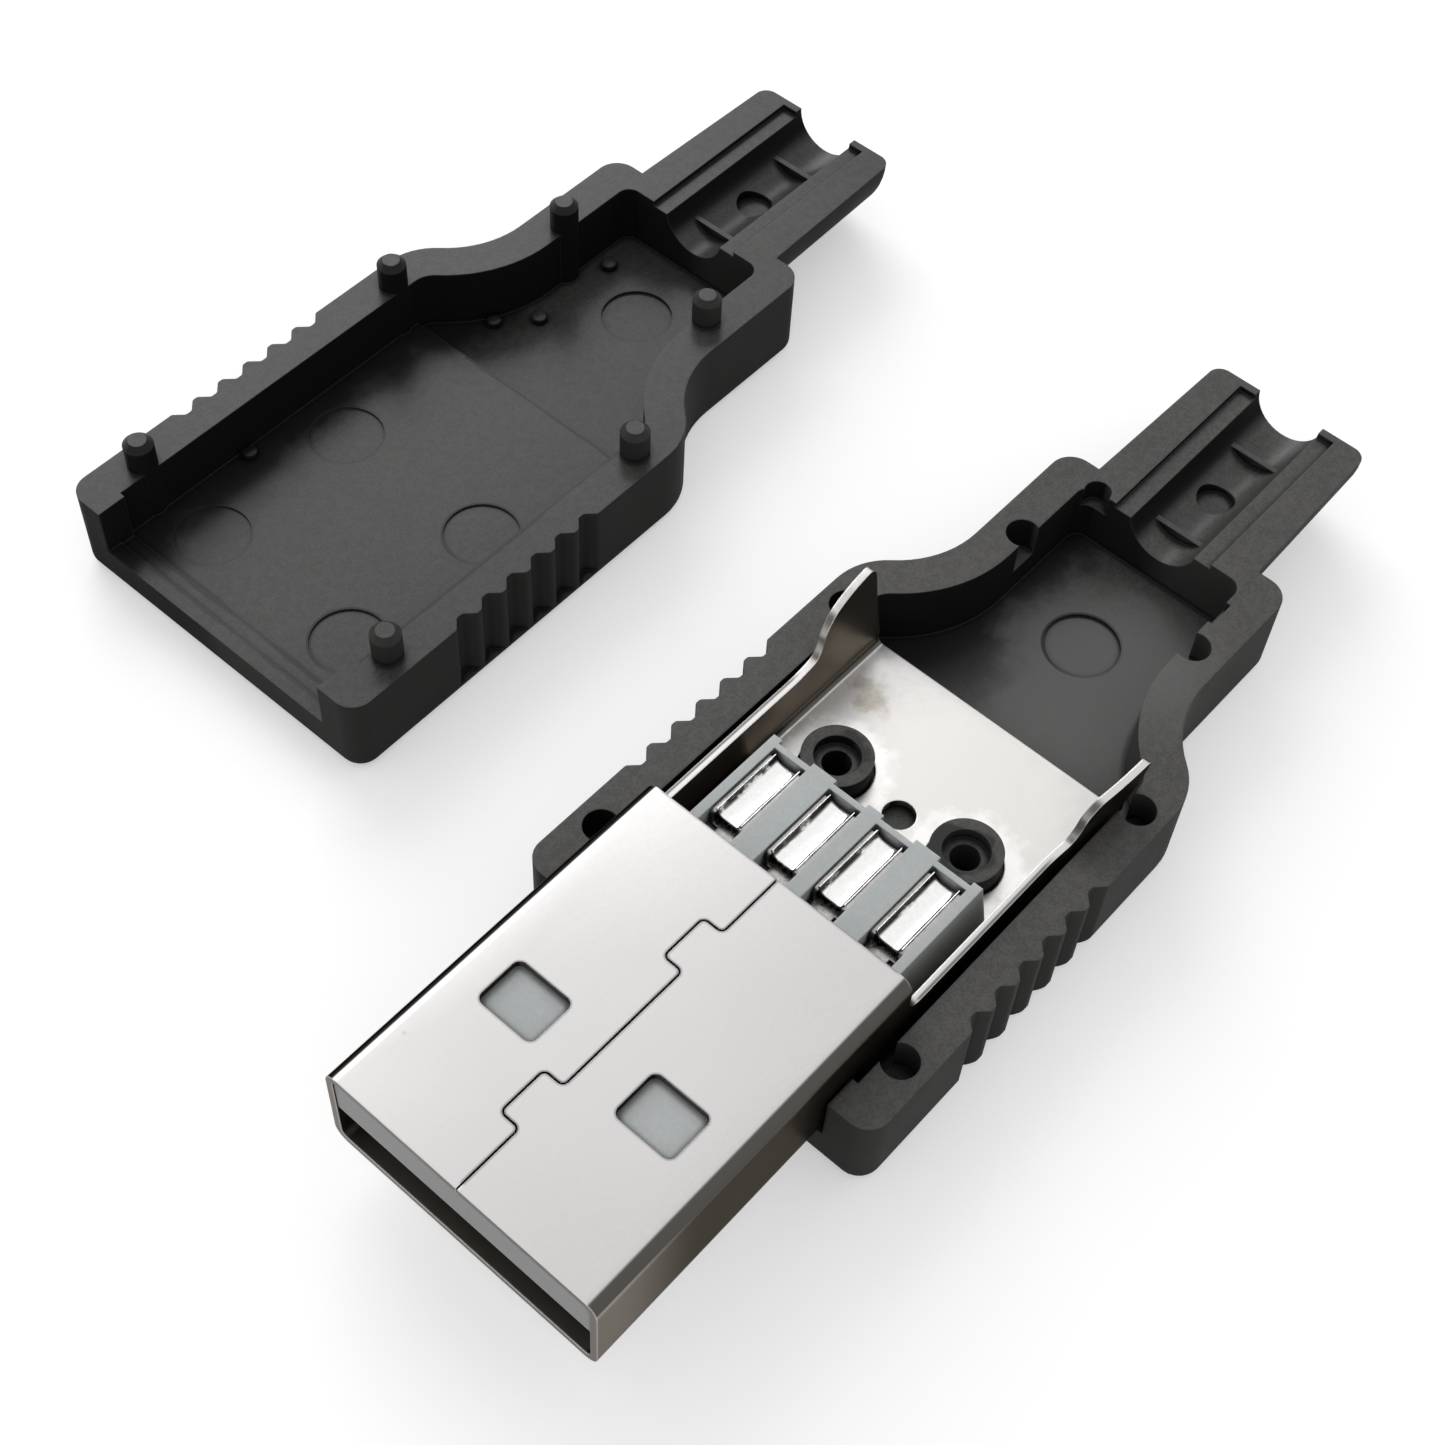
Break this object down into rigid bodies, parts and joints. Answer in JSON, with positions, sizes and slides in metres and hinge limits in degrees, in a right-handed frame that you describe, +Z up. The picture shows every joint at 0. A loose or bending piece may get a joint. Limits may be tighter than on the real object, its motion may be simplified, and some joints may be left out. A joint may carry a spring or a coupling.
{
  "type": "usb-a plug",
  "caption": "Solder-type USB-A male plug seated in one half of its black snap-together housing, with the other half taken off and laid beside it.",
  "frame": {"origin": "middle of the wide body of the base half, on its flat underside, which rests on the table", "axes": "+X towards the mouth of the plug, +Z up out of the open halves, +Y across the plug away from the cover half"},
  "size_m": [0.0483, 0.0409, 0.0063],
  "materials": {
    "black_plastic": "fine matte",
    "plated_steel": "bright nickel plate",
    "grey_plastic": "satin",
    "tinned_contact": "bright tin plate"
  },
  "bodies": {
    "root": {"base_shell": "black_plastic", "cover_shell": "black_plastic", "metal_shield": "plated_steel", "contact_carrier": "grey_plastic", "contact_power": "tinned_contact", "contact_data_minus": "tinned_contact", "contact_data_plus": "tinned_contact", "contact_ground": "tinned_contact"}
  },
  "joints": []
}
